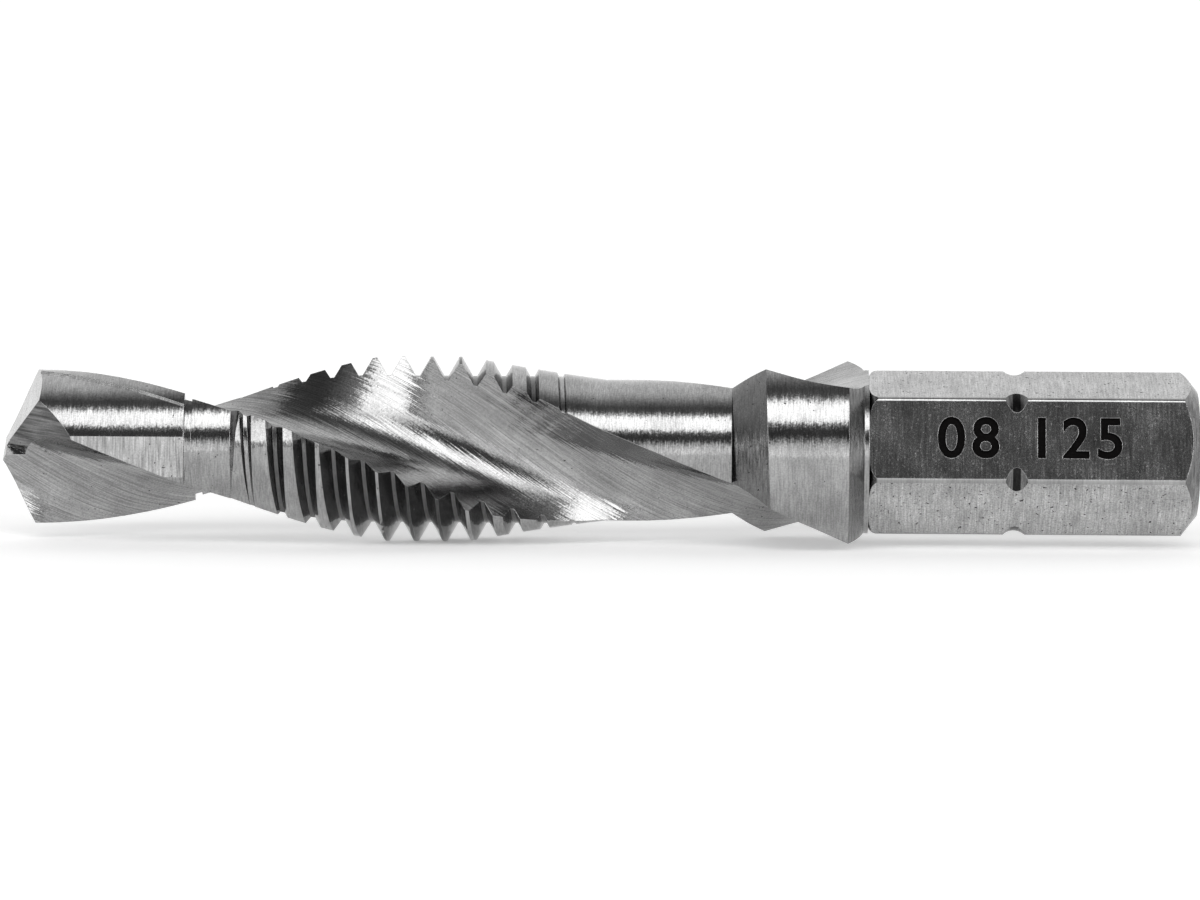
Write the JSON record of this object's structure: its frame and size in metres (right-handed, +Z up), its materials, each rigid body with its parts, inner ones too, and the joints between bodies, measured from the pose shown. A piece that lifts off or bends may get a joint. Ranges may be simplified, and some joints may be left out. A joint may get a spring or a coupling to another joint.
{
  "type": "combined drill, tap and countersink bit",
  "caption": "Straight steel bit that drills a hole, cuts a metric thread in it and chamfers its mouth, on a hex shank with a ball groove.",
  "frame": {"origin": "centre of the hex shank's end face", "axes": "+X along the tool from the point to the shank end, +Z up as the bit lies at rest over an open flute, -Y to the side whose hex flat faces the picture's camera"},
  "size_m": [0.0519, 0.009, 0.008],
  "materials": {
    "ground_steel": "bright ground tool steel with fine grinding lines"
  },
  "bodies": {
    "root": {"drill_tap_bit": "ground_steel"}
  },
  "joints": []
}
